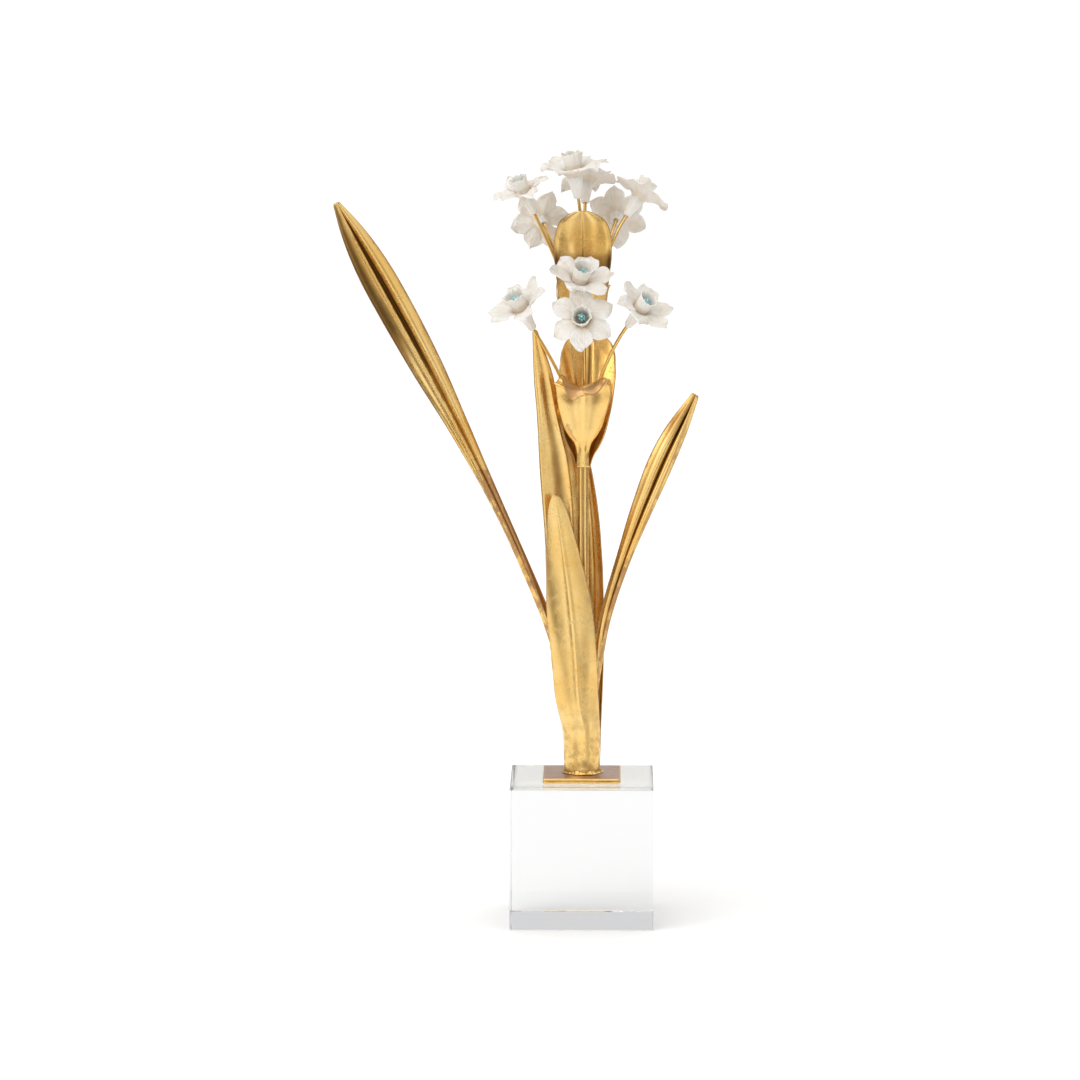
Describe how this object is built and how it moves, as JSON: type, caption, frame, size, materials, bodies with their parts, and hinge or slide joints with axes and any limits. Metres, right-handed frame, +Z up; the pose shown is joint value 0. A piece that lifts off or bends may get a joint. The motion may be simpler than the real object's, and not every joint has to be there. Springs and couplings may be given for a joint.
{
  "type": "gilded paperwhite narcissus ornament",
  "caption": "Gilded sheet-metal paperwhite narcissus with white porcelain blooms and turquoise stamens, standing on a small plate on a clear cube.",
  "frame": {"origin": "middle of the clear block's underside", "axes": "+Z up along the stems, the ornament's front towards -Y"},
  "size_m": [0.1927, 0.0916, 0.4103],
  "materials": {
    "clear_block": "polished",
    "gilt": "satin",
    "solder": "satin",
    "porcelain": "matte",
    "turquoise": "gloss"
  },
  "bodies": {
    "root": {"clear_block": "clear_block", "mounting_plate": "gilt", "solder_bead": "solder", "leaf_front": "gilt", "leaf_back": "gilt", "leaf_left": "gilt", "leaf_right": "gilt", "leaf_centre": "gilt", "front_stem": "gilt", "rear_stem": "gilt", "front_short_bract": "gilt", "front_tall_bract": "gilt", "rear_short_bract": "gilt", "rear_tall_bract": "gilt", "front_left_pedicel": "gilt", "front_left_bloom": "porcelain", "front_left_stamens": "turquoise", "front_upper_pedicel": "gilt", "front_upper_bloom": "porcelain", "front_upper_stamens": "turquoise", "front_lower_pedicel": "gilt", "front_lower_bloom": "porcelain", "front_lower_stamens": "turquoise", "front_right_pedicel": "gilt", "front_right_bloom": "porcelain", "front_right_stamens": "turquoise", "rear_left_pedicel": "gilt", "rear_left_bloom": "porcelain", "rear_left_stamens": "turquoise", "rear_left_back_pedicel": "gilt", "rear_left_back_bloom": "porcelain", "rear_left_back_stamens": "turquoise", "rear_top_pedicel": "gilt", "rear_top_bloom": "porcelain", "rear_top_stamens": "turquoise", "rear_top_back_pedicel": "gilt", "rear_top_back_bloom": "porcelain", "rear_top_back_stamens": "turquoise", "rear_right_pedicel": "gilt", "rear_right_bloom": "porcelain", "rear_right_stamens": "turquoise", "rear_right_back_pedicel": "gilt", "rear_right_back_bloom": "porcelain", "rear_right_back_stamens": "turquoise"}
  },
  "joints": []
}
